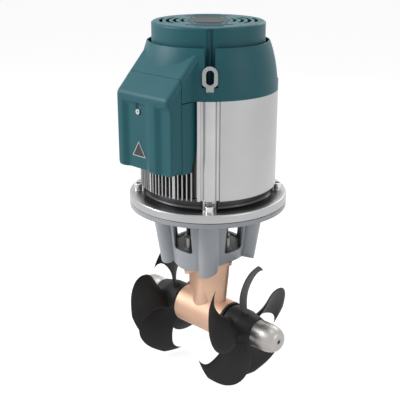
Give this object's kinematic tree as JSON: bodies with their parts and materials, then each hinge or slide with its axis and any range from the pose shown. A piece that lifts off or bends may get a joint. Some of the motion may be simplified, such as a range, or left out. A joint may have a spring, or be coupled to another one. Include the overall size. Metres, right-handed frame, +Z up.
{
  "type": "bow thruster",
  "caption": "Electric bow thruster: finned motor with terminal box above a cast bracket, and a bronze gear leg with a skewed propeller at each end of its shaft.",
  "frame": {"origin": "where the motor axis meets the propeller axis, inside the gear house, which is the centre line of the tunnel", "axes": "+Z up the motor axis, +X along the propeller shaft, terminal box towards -Y"},
  "size_m": [0.369, 0.317, 0.7021],
  "materials": {
    "teal_paint": "satin",
    "badge": "satin",
    "dark_plate": "matte",
    "lug_steel": "satin",
    "cast_aluminium": "cast",
    "turned_aluminium": "turned",
    "brushed_panel": "brushed",
    "bolt_steel": "bright",
    "cover_screw_paint": "satin",
    "grey_casting": "satin",
    "bronze": "satin",
    "black_rubber": "matte",
    "coupling_rubber": "matte",
    "black_composite": "satin",
    "zinc": "satin",
    "electrical_steel": "laminated",
    "copper": "varnished",
    "shaft_steel": "ground",
    "bearing_steel": "polished",
    "black_plastic": "matte",
    "stud_brass": "bright"
  },
  "bodies": {
    "housing": {"box_seal": "black_rubber", "cover_badge": "badge", "cover_screw": "bolt_steel", "cover_screws": "cover_screw_paint", "drive_bearing_outers": "bearing_steel", "end_cap_left": "black_composite", "end_cap_right": "black_composite", "fan_cover": "teal_paint", "flange_bolts": "bolt_steel", "flange_gasket": "black_rubber", "gear_leg": "bronze", "leg_nuts": "bolt_steel", "leg_studs": "bolt_steel", "leg_washers": "bolt_steel", "lifting_lugs": "lug_steel", "lip_seals": "black_rubber", "motor_bearing_outers": "bearing_steel", "motor_bracket": "grey_casting", "motor_end_shield": "turned_aluminium", "motor_frame": "cast_aluminium", "oil_plug": "bolt_steel", "propeller_bearing_outers": "bearing_steel", "rear_end_shield": "cast_aluminium", "saddle_gasket": "black_rubber", "side_panel_back": "brushed_panel", "side_panel_left": "brushed_panel", "side_panel_right": "brushed_panel", "stator_core": "electrical_steel", "stator_windings": "copper", "terminal_block": "black_plastic", "terminal_box_base": "teal_paint", "terminal_box_cover": "teal_paint", "terminal_studs": "stud_brass", "triangle_plate": "dark_plate", "upper_shroud": "teal_paint"},
    "drive": {"motor_shaft": "shaft_steel", "rotor": "electrical_steel", "cooling_fan": "black_plastic", "shaft_clip": "bolt_steel", "motor_bearing_inners": "bearing_steel", "coupling_upper": "shaft_steel", "coupling_spider": "coupling_rubber", "coupling_lower": "shaft_steel", "drive_shaft": "shaft_steel", "drive_bearing_inners": "bearing_steel", "pinion_gear": "shaft_steel"},
    "propellers": {"propeller_shaft": "shaft_steel", "crown_gear": "shaft_steel", "propeller_bearing_inners": "bearing_steel", "propeller_right": "black_composite", "propeller_left": "black_composite", "propeller_nuts": "bolt_steel", "shear_pins": "bolt_steel", "anode_right": "zinc", "anode_left": "zinc", "anode_screws": "bolt_steel"}
  },
  "joints": [
    {"name": "drive_spin", "type": "hinge", "parent": "housing", "child": "drive", "pos_m": [0, 0, 0.2], "axis": [0, 0, 1], "continuous": true},
    {"name": "propeller_spin", "type": "hinge", "parent": "housing", "child": "propellers", "pos_m": [0, 0, 0], "axis": [1, 0, 0], "continuous": true}
  ],
  "couplings": [
    {"joint": "propeller_spin", "follows": "drive_spin", "ratio": -0.56522}
  ]
}
